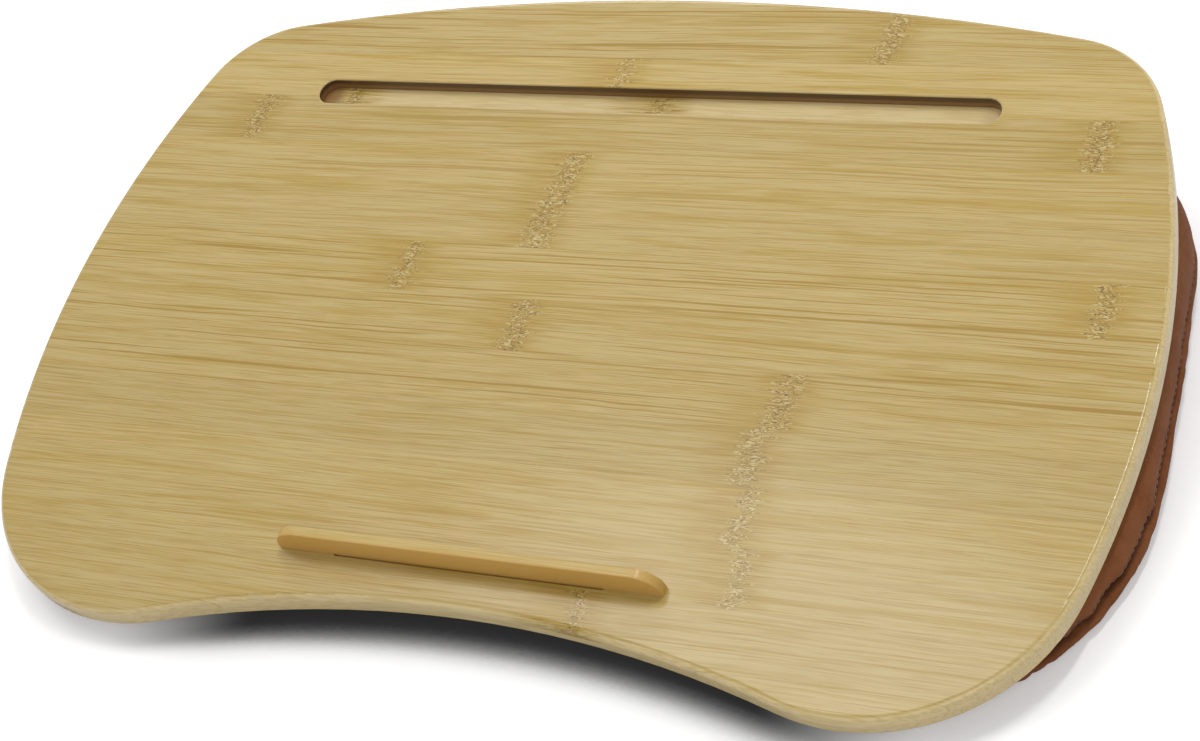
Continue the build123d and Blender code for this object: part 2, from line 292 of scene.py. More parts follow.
def scorchPocket(tree, base, across, along, height, pocket):
    wall, within = pocketMasks(tree, across, along, pocket)
    lower = calc(tree, "MULTIPLY", wall, ramp(tree, height, *scorching["brownBelow"], 1.0, 0.0))
    base = blend(tree, calc(tree, "MULTIPLY", lower, scorching["brown"]), base, bamboo["scorchAndShade"])
    upper = calc(tree, "MULTIPLY", lower, ramp(tree, height, *scorching["burntAbove"]))
    base = blend(tree, upper, base, bamboo["burn"])
    start, end = pocket[1] / 2 - scorching["endFrom"], pocket[1] / 2 - scorching["endTo"]
    for side, most in scorching["endShares"]:
        spot = ramp(tree, calc(tree, "MULTIPLY", across, side), start, end, 0.0, most)
        deep = ramp(tree, height, *scorching["endBelow"], 1.0, 0.0)
        base = blend(tree, calc(tree, "MULTIPLY", spot, within, deep), base, bamboo["scorchAndShade"])
    return base


def bambooMaterial(name, seed, tone, low, high, lined=0.4, golden=0.4, marks=(), pocket=None, bar=False):
    made, tree, shader = newMaterial(name)
    place = boardSpace(tree)
    across, along, height = addNode(tree, "ShaderNodeSeparateXYZ", {0: place}).outputs
    skew = calc(tree, "MULTIPLY", across, random.uniform(-1, 1) * bamboo["skewSpread"])
    wander = calc(tree, "MULTIPLY", grain(tree, place, bamboo["wanderStretch"], seed, 1.0), bamboo["wander"])
    flutter = grain(tree, place, bamboo["flutterStretch"], seed + 1, 1.0)
    bent = calc(tree, "ADD", along, skew, wander, calc(tree, "MULTIPLY", flutter, bamboo["flutter"]))
    fibre = addNode(tree, "ShaderNodeCombineXYZ", {0: across, 1: bent, 2: height}).outputs[0]
    patterns = {}
    for pattern, (stretch, step, *others) in fibrePatterns.items():
        patterns[pattern] = grain(tree, fibre, stretch, seed + step, *others)
    base = fibreColour(tree, patterns, lined, golden)
    base = sideColour(tree, base, patterns, height)
    if marks:
        base = markColour(tree, base, patterns, place, across, along, seed, marks)
    if bar:
        base = barColour(tree, base, across, along)
    base = glueColour(tree, base, along, low, high)
    if pocket:
        base = scorchPocket(tree, base, across, along, height, pocket)
    plug(tree, shader, {
        "Base Color": addNode(tree, "ShaderNodeHueSaturation", {"Value": 1 + tone, "Color": base}).outputs[0],
        "Roughness": ramp(tree, patterns["fine"], 0.3, 0.7, bamboo["roughest"], bamboo["smoothest"]),
        "IOR": bamboo["ior"], "Specular IOR Level": bamboo["specular"],
        "Coat Weight": bamboo["barCoat"] if bar else bamboo["coat"],
        "Coat Roughness": bamboo["coatRoughness"],
    })
    relief = calc(tree, "ADD", patterns["fine"], calc(tree, "MULTIPLY", patterns["dashes"], 0.6))
    bumpInto(tree, shader, relief, bamboo["bump"], bamboo["relief"])
    return made


def pocketIn(low, high):
    # The groove or the slot, for a stave that it cuts
    for kind in ("groove", "slot"):
        middle, length, width = (board[kind + size] for size in ("FromFront", "Length", "Width"))
        if low < middle + width / 2 and high > middle - width / 2:
            return middle, length, width
    return None


def marksIn(low, high, upper):
    # Each stave of the lower layer has one mark where chance puts it
    if upper:
        return [mark for mark in nodeMarks if low < mark[1] < high]
    marks = [grooveMark] if low < grooveMark[1] < high else []
    reach = markLook["hiddenReach"]
    place = random.uniform(-reach, reach)
    half = random.uniform(markLook["hiddenLeast"], markLook["hiddenMost"])
    return marks + [(place, (low + high) / 2, half)]


def dressBoard():
    # A stave at the front or the back of the board has no glue line along its outer edge
    names = sorted(name for name in nodes if "stave" in name)
    for count, name in enumerate(names):
        rows = [boardPlace(vertex.co)[1] for vertex in nodes[name].data.vertices]
        low, high = min(rows), max(rows)
        marks = marksIn(low, high, name.startswith("stave"))
        dim = min(0, low - bamboo["dimBefore"]) * bamboo["dimming"]
        look = {
            "tone": random.uniform(-1, 1) * bamboo["toneSpread"] + dim + bamboo["toneShift"],
            "lined": random.choice(bamboo["linedChoices"]),
            "golden": random.uniform(bamboo["goldLeast"], bamboo["goldMost"]) + low * bamboo["goldRise"],
            "low": board["beforeFront"] if low < board["firstEdge"] else low,
            "high": board["behindBack"] if high > board["lastEdge"] else high,
            "marks": marks, "pocket": pocketIn(low, high),
        }
        putOn(nodes[name], bambooMaterial(name, count + 1.0, **look))
    look = {"tone": bamboo["barTone"], "low": board["beforeFront"], "high": board["behindBack"]}
    putOn(nodes["stop_bar"], bambooMaterial("stopBar", 61.0, bar=True, **look))
    print("board dressed:", len(names), "staves")


# Camera, in the board's millimetres
view = {
    "place": (403.15, -286.02, 676.92), "aim": (25.51, 121.78, 0), "roll": -21.472,
    "lens": 72.22, "shift": (-0.0019, 0.0012), "clip": (0.02, 30),
}


def makeCamera():
    made = bpy.data.objects.new("camera", bpy.data.cameras.new("camera"))
    bpy.context.scene.collection.objects.link(made)
    made.location = boardPoint(*view["place"])
    look = (boardPoint(*view["aim"]) - made.location).to_track_quat("-Z", "Y")
    made.rotation_mode = "QUATERNION"
    made.rotation_quaternion = look @ Quaternion((0, 0, 1), math.radians(view["roll"]))
    made.data.lens = view["lens"]
    made.data.shift_x, made.data.shift_y = view["shift"]
    made.data.clip_start, made.data.clip_end = view["clip"]
    bpy.context.scene.camera = made


# Studio, in metres: a soft lamp whose sheen falls on the front right, a level strip that the rounded edge
# mirrors, a lamp behind, a fill over the camera, and a white surround
studio = {
    "key": {"place": (-0.78, 0.18, 2.35), "size": 1.1, "watts": 12},
    "window": {"place": (0.45, 0.66, 2.3), "size": 0.11, "long": 0.9, "turn": -0.18, "watts": 16},
    "back": {"place": (-1.6, 2.7, 2.3), "size": 1.1, "watts": 18},
    "fill": {"place": (1.05, -1.65, 2.0), "size": 1.5, "watts": 12},
    "air": (0.96, 0.98, 1.0), "airStrength": 0.37,
}
paper = {
    "colour": (0.96, 0.96, 0.965), "size": 12, "lift": 0.33, "fade": (0.45, 1.4),
    "shadow": (0.01, 0.01, 0.012), "shadowReach": 0.03, "shadowOpen": (0.45, 0.97), "shadowSamples": 16,
    "middle": (0.01, -0.135, 0), "middleReach": (0.10, 0.165), "shadowMost": 0.96, "shadowLeast": 0.12,
}


def makeLamp(name, facts):
    lamp = bpy.data.lights.new(name, "AREA")
    lamp.shape, lamp.size, lamp.energy = "DISK", facts["size"], facts["watts"]
    made = bpy.data.objects.new(name, lamp)
    bpy.context.scene.collection.objects.link(made)
    made.location = facts["place"]
    if "long" in facts:
        lamp.shape, lamp.size_y = "RECTANGLE", facts["long"]
        made.rotation_euler = (0, 0, facts["turn"])
    else:
        made.rotation_euler = (-made.location).to_track_quat("-Z", "Y").to_euler()


def makeSurround():
    world = bpy.data.worlds.new("surround")
    world.use_nodes = True
    bpy.context.scene.world = world
    tree = world.node_tree
    rays = addNode(tree, "ShaderNodeLightPath").outputs
    shown = calc(tree, "MAXIMUM", rays["Is Camera Ray"], rays["Is Glossy Ray"], rays["Is Transmission Ray"])
    air = tree.nodes["Background"]
    plug(tree, air, {"Color": opaque(studio["air"]), "Strength": studio["airStrength"]})
    white = addNode(tree, "ShaderNodeBackground", {"Color": (1, 1, 1, 1), "Strength": 1.0})
    mixed = addNode(tree, "ShaderNodeMixShader", {0: shown, 1: air.outputs[0], 2: white.outputs[0]})
    tree.links.new(mixed.outputs[0], tree.nodes["World Output"].inputs[0])


def paperMaterial():
    made, tree, shader = newMaterial("floorPaper")
    # Where the board's curve overhangs the floor, the shadow deepens towards the part
    values = {"Distance": paper["shadowReach"]}
    near = addNode(tree, "ShaderNodeAmbientOcclusion", values, samples=paper["shadowSamples"]).outputs["AO"]
    place = objectPlace(tree)
    away = addNode(tree, "ShaderNodeVectorMath", {0: place, 1: paper["middle"]}, operation="DISTANCE")
    most, least = paper["shadowMost"], paper["shadowLeast"]
    inFront = ramp(tree, away.outputs["Value"], *paper["middleReach"], most, least)
    dark = calc(tree, "MULTIPLY", ramp(tree, near, *paper["shadowOpen"], 1.0, 0.0), inFront)
    colour = blend(tree, dark, paper["colour"], paper["shadow"])
    plug(tree, shader, {"Base Color": colour, "Roughness": 1.0, "Specular IOR Level": 0.0})
    # The camera alone sees the paper lifted, and fading to white far out
    seen = addNode(tree, "ShaderNodeLightPath").outputs["Is Camera Ray"]
    lift = calc(tree, "MULTIPLY", calc(tree, "SUBTRACT", 1.0, dark), paper["lift"], seen)
    glow = addNode(tree, "ShaderNodeEmission", {"Color": (1, 1, 1, 1), "Strength": lift})
    both = addNode(tree, "ShaderNodeAddShader", {0: shader.outputs[0], 1: glow.outputs[0]})
    far = addNode(tree, "ShaderNodeVectorMath", {0: place}, operation="LENGTH").outputs["Value"]
    fade = calc(tree, "MULTIPLY", seen, ramp(tree, far, *paper["fade"]))
    white = addNode(tree, "ShaderNodeEmission", {"Color": (1, 1, 1, 1), "Strength": 1.0})
    mixed = addNode(tree, "ShaderNodeMixShader", {0: fade, 1: both.outputs[0], 2: white.outputs[0]})
    tree.links.new(mixed.outputs[0], tree.nodes["Material Output"].inputs[0])
    return made


def makeStudio():
    for name in ("key", "window", "back", "fill"):
        makeLamp(name, studio[name])
    makeSurround()
    bpy.ops.mesh.primitive_plane_add(size=paper["size"], location=(0, 0, 0))
    floor = bpy.context.object
    floor.name = "floor"
    putOn(floor, paperMaterial())
    bpy.context.scene.view_settings.view_transform = "Standard"
    print("camera, lamps and floor set")


# Cushion, in millimetres; each dent has its x, v, depth and width
cushion = {
    "merge": 0.01, "voxel": 4.5, "pressure": 4.0, "frames": 20, "cap": 3.6,
    "grow": 1.4, "skin": 2.8, "wave": 1.8, "waveLength": 75, "cutNear": 0.02,
    "dents": [(222, 215, -3.5, 26), (216, 86, -3.9, 32), (188, 32, -1.5, 16)], "dentBelow": 24, "dentWidths": 3,
    "topGap": 2.6, "touchGap": 0.4, "riseReach": 8, "patchMargin": 3, "patchBlend": 6, "floorGap": 0.2,
}
# Its seams, at shares of the height between the floor and the board, and the swell below the lower one
seams = {
    "lowerShare": 0.38, "topShare": 0.97, "depth": 2.4, "width": 1.3, "reach": 32,
    "cuts": (-3, -1.2, 0, 1.2, 3), "steepLeast": 0.3,
    "swellShare": 0.19, "swellReach": 0.19, "swell": 3.0,
    "pucker": 0.35, "puckerPitch": 16, "puckerFade": 8, "puckerRadius": 210, "puckerSwing": 6,
    "puckerWander": 28, "puckerPatch": 60, "puckerLeast": 0.4, "puckerRise": 0.9,
}
cloth = {
    "band": (0.195, 0.062, 0.02), "bandLight": (0.27, 0.099, 0.037), "weavePitch": 0.55,
    # The band is painted darker along the lower seam's crease, as painted shade
    "weaveDark": 0.45, "creaseShadeDark": 0.3, "mottle": (30, 30, 30), "mottleShare": 0.7,
    "nap": (420, 420, 420), "napShare": 0.3,
    "roughness": 0.88, "sheen": 0.07, "sheenRoughness": 0.4, "specular": 0.1, "bump": 0.5, "relief": 0.12,
}
zipper = {
    "openReach": 7.4, "openLength": 279, "tapeSunk": 0.2, "behindTape": 1.3, "foldProud": 0.5, "foldCut": 0.4,
    "blendReach": 12, "nearBand": 12, "nearOpening": 20,
    "coilLength": 274, "toothPitch": 1.3, "toothInner": 0.25, "toothOuter": 2.7, "toothThick": 0.36,
    "toothRise": 0.5, "toothLean": 0.25, "coreHalf": 2.7, "coreLow": -1.05, "coreHigh": -0.45,
    "teethSteps": 180, "coreSteps": 120,
}


def meshOf(obj):
    return bpy.data.meshes.new_from_object(obj.evaluated_get(bpy.context.evaluated_depsgraph_get()))


def newObject(name, mesh):
    made = bpy.data.objects.new(name, mesh)
    bpy.context.scene.collection.objects.link(made)
    return made


def applied(obj):
    # The object's modifiers become its mesh
    mesh = meshOf(obj)
    obj.modifiers.clear()
    obj.data = mesh
    return obj


def shadeSmooth(mesh):
    for face in mesh.polygons:
        face.use_smooth = True


underStaves = [nodes[name] for name in nodes if name.startswith("under_stave")]
boardThickness = -min(boardPlace(vertex.co)[2] for stave in underStaves for vertex in stave.data.vertices)
underside = boardPoint(0, 0, -boardThickness)
foldY = underside.y - underside.z / math.tan(boardTilt)  # where the board's underside would meet the floor


def levelShare(point):
    # 0 on the floor, 1 at the board's underside
    return math.atan2(point.z, point.y - foldY) / boardTilt


def levelPlane(share, lift=0.0):
    # A point and the upward direction of the plane at a share of the height
    turn = boardTilt * share
    up = Vector((0, -math.sin(turn), math.cos(turn)))
    return Vector((0, foldY, 0)) + up * lift * mm, up


def puffedCushion():
    # The filling's outside, which lies a little within the cover's, blown up by a cloth pass
    bm = bmesh.new()
    bm.from_mesh(nodes["bead_fill"].data)
    bmesh.ops.remove_doubles(bm, verts=bm.verts, dist=cushion["merge"] * mm)
    mesh = bpy.data.meshes.new("puffed")
    bm.to_mesh(mesh)
    bm.free()
    puffed = newObject("cushionCover", mesh)
    remesh = puffed.modifiers.new("even", "REMESH")
    remesh.mode, remesh.voxel_size = "VOXEL", cushion["voxel"] * mm
    applied(puffed)
    start = [vertex.co.copy() for vertex in puffed.data.vertices]
    puff = puffed.modifiers.new("puff", "CLOTH")
    puff.settings.use_pressure = True
    puff.settings.uniform_pressure_force = cushion["pressure"]
    puff.settings.effector_weights.gravity = 0
    puff.point_cache.frame_start, puff.point_cache.frame_end = 1, cushion["frames"]
    for number in range(1, cushion["frames"] + 1):
        bpy.context.scene.frame_set(number)
    applied(puffed)
    bpy.context.scene.frame_set(1)
    most = 0
    for vertex, home in zip(puffed.data.vertices, start):
        move = vertex.co - home
        most = max(most, move.length)
        if move.length > cushion["cap"] * mm:
            vertex.co = home + move.normalized() * cushion["cap"] * mm
    print("cushion puffed:", len(start), "points, most", round(most / mm, 1), "mm")
    smooth = puffed.modifiers.new("finer", "SUBSURF")
    smooth.levels = smooth.render_levels = 1
    return applied(puffed)


# The zip bends about the axis that its slider turns on
slide = next(joint for joint in frame["joints"] if joint["name"] == "zip_slide")
zipAxis, zipCentre = Vector(slide["axis"]).normalized(), Vector(slide["pos_m"])
zipAhead = zipAxis.cross(Vector((1, 0, 0)))


def zipPlace(point):
    # Along the zip, across it and out from its bend, in millimetres
    away = point - zipCentre
    across = away.dot(zipAxis)
    flat = away - zipAxis * across
    if flat.dot(zipAhead) < 0:
        return 0, 0, 0
    return math.atan2(flat.x, flat.dot(zipAhead)) * flat.length / mm, across / mm, flat.length / mm


def zipPoint(along, across, out):
    # The point, and the direction out from the bend there
    turn = along / out
    flat = Vector((1, 0, 0)) * math.sin(turn) + zipAhead * math.cos(turn)
    return zipCentre + (flat * out + zipAxis * across) * mm, flat


tapeRadius = max(zipPlace(vertex.co)[2] for vertex in nodes["zip_tape_upper"].data.vertices)
bandRadius = tapeRadius + zipper["tapeSunk"]


def bowWalls(bm):
    # Walls bow out a little unevenly, and top and bottom move out to the cover's skin
    outward = {vertex: vertex.normal.copy() for vertex in bm.verts}
    for vertex, normal in outward.items():
        wall = 1 - normal.z ** 2
        slow = noise.noise(vertex.co / (cushion["waveLength"] * mm))
        vertex.co += normal * (cushion["grow"] + slow * cushion["wave"]) * wall * mm
        vertex.co.z -= max(0, -normal.z) * cushion["skin"] * mm
        vertex.co += boardUp * max(0, normal.dot(boardUp)) * cushion["skin"] * mm


def cutFolds(bm):
    # Edges along the seams and round the zip's opening, so that the folds there stay sharp
    cuts = []
    for share in (seams["lowerShare"], seams["topShare"]):
        for step in seams["cuts"]:
            cuts.append(levelPlane(share, step))
    reach, half, step = zipper["openReach"], zipper["openLength"] / 2, zipper["foldCut"]
    for across in (-reach - step, -reach, reach, reach + step):
        cuts.append((zipCentre + zipAxis * across * mm, zipAxis))
    for x in (-half - step, -half, half, half + step):
        cuts.append((Vector((x * mm, 0, 0)), Vector((1, 0, 0))))
    near = cushion["cutNear"]
    for spot, up in cuts:
        beside = [face for face in bm.faces if abs((face.verts[0].co - spot).dot(up)) < cushion["voxel"] * mm]
        geometry = set(beside)
        for face in beside:
            geometry.update(face.edges)
            geometry.update(face.verts)
        bmesh.ops.bisect_plane(bm, geom=list(geometry), plane_co=spot, plane_no=up, dist=near * mm)


def drawSeams(bm):
    # Seams draw in and pucker, the wall swells below the lower one, and its crease is marked for painted shade
    creaseShade = bm.verts.layers.float.new("creaseShade")
    planes = [levelPlane(seams["lowerShare"]), levelPlane(seams["topShare"])]
    for vertex in bm.verts:
        wall = math.sqrt(max(0, 1 - vertex.normal.z ** 2))
        if wall < seams["steepLeast"]:
            continue
        under = max(0, 1 - ((levelShare(vertex.co) - seams["swellShare"]) / seams["swellReach"]) ** 2)
        vertex.co += Vector((vertex.normal.x, vertex.normal.y, 0)) * under * seams["swell"] * mm
        push = 0
        for index, (spot, up) in enumerate(planes):
            away = abs((vertex.co - spot).dot(up)) / mm
            if away > seams["reach"]:
                continue
            around = math.atan2(vertex.co.y, vertex.co.x) * seams["puckerRadius"]
            swing = seams["puckerSwing"] * noise.noise(vertex.co / (seams["puckerWander"] * mm))
            phase = 2 * math.pi * around / seams["puckerPitch"] + swing
            patch = abs(noise.noise(vertex.co / (seams["puckerPatch"] * mm)))
            strength = seams["puckerLeast"] + seams["puckerRise"] * patch
            valley = math.exp(-(away / seams["width"]) ** 2)
            if index == 0:
                vertex[creaseShade] = valley
            push += seams["depth"] * valley
            push += math.sin(phase) * strength * seams["pucker"] * math.exp(-away / seams["puckerFade"])
        vertex.co -= vertex.normal * push * wall * mm


def dentWall(bm):
    # The wall at the right stands out further in a few places
    for x, v, deep, width in cushion["dents"]:
        spot = boardPoint(x, v, -cushion["dentBelow"])
        for vertex in bm.verts:
            apart = (vertex.co - spot).length / mm
            if apart < cushion["dentWidths"] * width:
                vertex.co.x -= deep * math.exp(-(apart / width) ** 2) * mm


def openZip(bm):
    # The band stands a little proud round the zip, and sinks behind its tapes
    reach, half, margin = zipper["openReach"], zipper["openLength"] / 2, zipper["nearOpening"]
    for vertex in bm.verts:
        along, across, out = zipPlace(vertex.co)
        if abs(out - bandRadius) > zipper["nearBand"]:
            continue
        if abs(along) > half + margin or abs(across) > reach + margin:
            continue
        past = max(abs(along) - half, abs(across) - reach, 0)
        share = max(0, 1 - past / zipper["blendReach"]) ** 2
        out += (bandRadius + zipper["foldProud"] - out) * share
        if past < cushion["cutNear"]:
            out = bandRadius - zipper["tapeSunk"] - zipper["behindTape"]
        vertex.co = zipPoint(along, across, out)[0]


def settle(bm):
    # The top almost touches the board, except at the patches, and the bottom lies on the floor
    loops = BVHTree.FromObject(nodes["loop_patches"], bpy.context.evaluated_depsgraph_get())
    top, reach = cushion["topGap"], cushion["riseReach"]
    for vertex in bm.verts:
        below = (underside - vertex.co).dot(boardUp) / mm
        if below < top + reach:
            away = loops.find_nearest(vertex.co)[3] / mm
            clear = min(1, max(0, away - cushion["patchMargin"]) / cushion["patchBlend"])
            gap = top + (cushion["touchGap"] - top) * clear ** 2 * (3 - 2 * clear)
            rise = (top - gap) * min(1, 1 - (below - top) / reach)
            vertex.co += boardUp * min(rise, below - gap) * mm
        vertex.co.z = max(vertex.co.z, cushion["floorGap"] * mm)


def shapeCover(puffed):
    bm = bmesh.new()
    bm.from_mesh(puffed.data)
    bmesh.ops.recalc_face_normals(bm, faces=bm.faces)
    bm.normal_update()
    bowWalls(bm)
    cutFolds(bm)
    bm.normal_update()
    drawSeams(bm)
    dentWall(bm)
    openZip(bm)
    settle(bm)
    bm.to_mesh(puffed.data)
    bm.free()
    shadeSmooth(puffed.data)
    return puffed


def boxMap(mesh):
    # Weave coordinates in millimetres, laid on from the nearest side
    layer = mesh.uv_layers.new(name="weave")
    for face in mesh.polygons:
        flat = max(range(3), key=lambda axis: abs(face.normal[axis]))
        first, second = ((1, 2), (0, 2), (0, 1))[flat]
        for loop in face.loop_indices:
            spot = mesh.vertices[mesh.loops[loop].vertex_index].co
            layer.data[loop].uv = (spot[first] / mm, spot[second] / mm)


def clothMaterial():
    made, tree, shader = newMaterial("coverCloth")
    place = addNode(tree, "ShaderNodeUVMap", uv_map="weave").outputs[0]
    parts = addNode(tree, "ShaderNodeSeparateXYZ", {0: place}).outputs
    turns = 2 * math.pi / cloth["weavePitch"]
    waves = [calc(tree, "SINE", calc(tree, "MULTIPLY", part, turns)) for part in parts[:2]]
    weave = calc(tree, "MULTIPLY", *waves)
    where = objectPlace(tree)
    mottle = grain(tree, where, cloth["mottle"], 2.0, 4.0, 0.6)
    nap = grain(tree, where, cloth["nap"], 4.0, 3.0, 0.7)
    slow = calc(tree, "MULTIPLY", mottle, cloth["mottleShare"])
    fast = calc(tree, "MULTIPLY", nap, cloth["napShare"])
    tone = ramp(tree, calc(tree, "ADD", slow, fast), 0.35, 0.65)
    colour = blend(tree, tone, cloth["band"], cloth["bandLight"])
    gaps = ramp(tree, weave, -1.0, 0.2, 0.35, 0.0)
    colour = blend(tree, gaps, colour, scaled(cloth["band"], cloth["weaveDark"]))
    # Painted shade: the cloth is painted darker along the lower seam's crease
    creaseShade = addNode(tree, "ShaderNodeAttribute", attribute_name="creaseShade").outputs["Fac"]
    creaseShade = ramp(tree, creaseShade, 0.15, 0.9, 0.0, 0.8)
    colour = blend(tree, creaseShade, colour, scaled(cloth["band"], cloth["creaseShadeDark"]))
    plug(tree, shader, {
        "Base Color": colour, "Roughness": cloth["roughness"], "Specular IOR Level": cloth["specular"],
        "Sheen Weight": cloth["sheen"], "Sheen Roughness": cloth["sheenRoughness"],
    })
    relief = calc(tree, "ADD", calc(tree, "MULTIPLY", weave, 0.5), nap)
    bumpInto(tree, shader, relief, cloth["bump"], cloth["relief"])
    return made


def makeCushion():
    cover = shapeCover(puffedCushion())
    boxMap(cover.data)
    putOn(cover, clothMaterial())
    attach(cover, "cushion")
    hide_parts("cover_top_panel", "cover_band", "cover_bottom_panel", "liner_bag", "bead_fill")
    print("cover:", len(cover.data.polygons), "faces")
    return cover


# Whatever is repeated along a path: stitches and zip teeth
def repeatTree():
    tree = bpy.data.node_groups.new("repeatAlongPath", "GeometryNodeTree")
    sockets = {"Geometry": "Geometry", "Shape": "Object", "Pitch": "Float", "Material": "Material"}
    for name, kind in sockets.items():
        tree.interface.new_socket(name, in_out="INPUT", socket_type="NodeSocket" + kind)
    tree.interface.new_socket("Geometry", in_out="OUTPUT", socket_type="NodeSocketGeometry")
    given = addNode(tree, "NodeGroupInput").outputs

    def add(kind, values=None, **settings):
        return addNode(tree, kind, values, **settings).outputs[0]

    line = add("GeometryNodeMeshToCurve", {"Mesh": given["Geometry"]})
    even = add("GeometryNodeResampleCurve", {"Curve": line, "Length": given["Pitch"]}, mode="LENGTH")
    outward = add("GeometryNodeInputNamedAttribute", {"Name": "outward"}, data_type="FLOAT_VECTOR")
    axes = {"Primary Axis": add("GeometryNodeInputTangent"), "Secondary Axis": outward}
    turned = add("FunctionNodeAxesToRotation", axes, primary_axis="X", secondary_axis="Z")
    shape = addNode(tree, "GeometryNodeObjectInfo", {"Object": given["Shape"]}).outputs["Geometry"]
    placed = add("GeometryNodeInstanceOnPoints", {"Points": even, "Instance": shape, "Rotation": turned})
    real = add("GeometryNodeRealizeInstances", {"Geometry": placed})
    done = add("GeometryNodeSetMaterial", {"Geometry": real, "Material": given["Material"]})
    addNode(tree, "NodeGroupOutput", {0: done})
    return tree


def skinOver(name, rings):
    # A closed skin over rings of points
    bm = bmesh.new()
    rings = [[bm.verts.new(point) for point in ring] for ring in rings]
    for one, two in zip(rings, rings[1:]):
        for side in range(len(one)):
            after = (side + 1) % len(one)
            bm.faces.new((one[side], one[after], two[after], two[side]))
    bm.faces.new(rings[0])
    bm.faces.new(rings[-1])
    bmesh.ops.recalc_face_normals(bm, faces=bm.faces)
    mesh = bpy.data.meshes.new(name)
    bm.to_mesh(mesh)
    bm.free()
    return mesh


def tubeShape(name, points, radius, sides=5):
    # A short bent tube with closed ends, in millimetres
    aside = Vector((0.12, 0.35, 1))  # no stretch of a route runs this way
    rings = []
    for index, point in enumerate(points):
        before, after = points[max(index - 1, 0)], points[min(index + 1, len(points) - 1)]
        ahead = (Vector(after) - Vector(before)).normalized()
        first = ahead.cross(aside).normalized()
        second = ahead.cross(first)
        ring = []
        for side in range(sides):
            turn = 2 * math.pi * side / sides
            ring.append((Vector(point) + (first * math.cos(turn) + second * math.sin(turn)) * radius) * mm)
        rings.append(ring)
    mesh = skinOver(name, rings)
    shadeSmooth(mesh)
    return bpy.data.objects.new(name, mesh)


def alongPath(name, tree, path, closed, shape, pitch, material):
    # The path holds points and outward directions
    mesh = bpy.data.meshes.new(name + "Path")
    edges = [(index, index + 1) for index in range(len(path) - 1)]
    if closed:
        edges.append((len(path) - 1, 0))
    mesh.from_pydata([point for point, _ in path], edges, [])
    layer = mesh.attributes.new("outward", "FLOAT_VECTOR", "POINT")
    for index, (_, outward) in enumerate(path):
        layer.data[index].vector = outward
    guide = newObject(name + "Path", mesh)
    modifier = guide.modifiers.new("repeat", "NODES")
    modifier.node_group = tree
    values = {"Shape": shape, "Pitch": pitch * mm, "Material": material}
    for item in tree.interface.items_tree:
        if item.in_out == "INPUT" and item.name in values:
            modifier[item.identifier] = values[item.name]
    made = newObject(name, meshOf(guide))
    bpy.data.objects.remove(guide)
    return made


def joined(name, objects, material):
    bm = bmesh.new()
    for obj in objects:
        bm.from_mesh(obj.data)
    mesh = bpy.data.meshes.new(name)
    bm.to_mesh(mesh)
    bm.free()
    for obj in objects:
        bpy.data.objects.remove(obj)
    for face in mesh.polygons:
        face.material_index = 0
    made = newObject(name, mesh)
    putOn(made, material)
    return made


# Stitches, in millimetres: rays from outside find where their rows lie on the cover
sewing = {
    "pitch": 3.2, "length": 2.3, "thick": 0.28, "rise": 0.16, "shoulder": 0.05, "bendShare": 0.7,
    "aboveSeam": 2.8, "besideZip": 2.4, "pastZip": 2.5,
    "seamRays": 720, "seamStart": 500, "zipRays": 140, "zipStart": 20,
}
thread = {
    "colour": (0.075, 0.026, 0.011), "lightTimes": 1.9, "twist": (2500, 2500, 2500),
    "roughness": 0.6, "sheen": 0.3, "bump": 0.5, "relief": 0.08,
}


def seamPath(surface, share, lift):
    middle, up = levelPlane(share, lift)
    middle = Vector((0, 0, middle.z - middle.y * math.tan(boardTilt * share)))
    back = up.cross(Vector((1, 0, 0)))
    path = []
    start = sewing["seamStart"] * mm
    for step in range(sewing["seamRays"]):
        turn = 2 * math.pi * step / sewing["seamRays"]
        ahead = Vector((1, 0, 0)) * math.cos(turn) + back * math.sin(turn)
        spot, normal, _, _ = surface.ray_cast(middle + ahead * start, -ahead)
        if spot:
            path.append((spot, normal))
    return path


def zipRow(surface, across):
    half = zipper["openLength"] / 2 + sewing["pastZip"]
    path = []
    for step in range(sewing["zipRays"] + 1):
        along = -half + 2 * half * step / sewing["zipRays"]
        spot, flat = zipPoint(along, across, bandRadius + sewing["zipStart"])
        hit, _, _, _ = surface.ray_cast(spot, -flat)
        if hit:
            path.append((hit, flat))
    return path


def threadMaterial():
    made, tree, shader = newMaterial("seamThread")
    twist = grain(tree, objectPlace(tree), thread["twist"], 3.0, 2.0)
    light = scaled(thread["colour"], thread["lightTimes"])
    colour = blend(tree, ramp(tree, twist, 0.35, 0.65), thread["colour"], light)
    values = {"Base Color": colour, "Roughness": thread["roughness"], "Sheen Weight": thread["sheen"]}
    plug(tree, shader, values)
    bumpInto(tree, shader, twist, thread["bump"], thread["relief"])
    return made


def makeStitches(cover, tree):
    surface = BVHTree.FromObject(cover, bpy.context.evaluated_depsgraph_get())
    half, thick, shoulder = sewing["length"] / 2, sewing["thick"], sewing["shoulder"]
    bend = half * sewing["bendShare"]
    route = [(-half, 0, -thick), (-bend, 0, shoulder), (0, 0, sewing["rise"])]
    route += [(bend, 0, shoulder), (half, 0, -thick)]
    stitch = tubeShape("stitch", route, thick)
    material = threadMaterial()
    rows = [(seamPath(surface, seams["lowerShare"], sewing["aboveSeam"]), True)]
    for side in (-1, 1):
        rows.append((zipRow(surface, side * (zipper["openReach"] + sewing["besideZip"])), False))
    pitch = sewing["pitch"]
    made = [alongPath("row", tree, path, closed, stitch, pitch, material) for path, closed in rows]
    stitches = joined("coverStitches", made, material)
    bpy.data.objects.remove(stitch)
    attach(stitches, "cushion")
    print("stitches:", len(stitches.data.polygons), "faces")


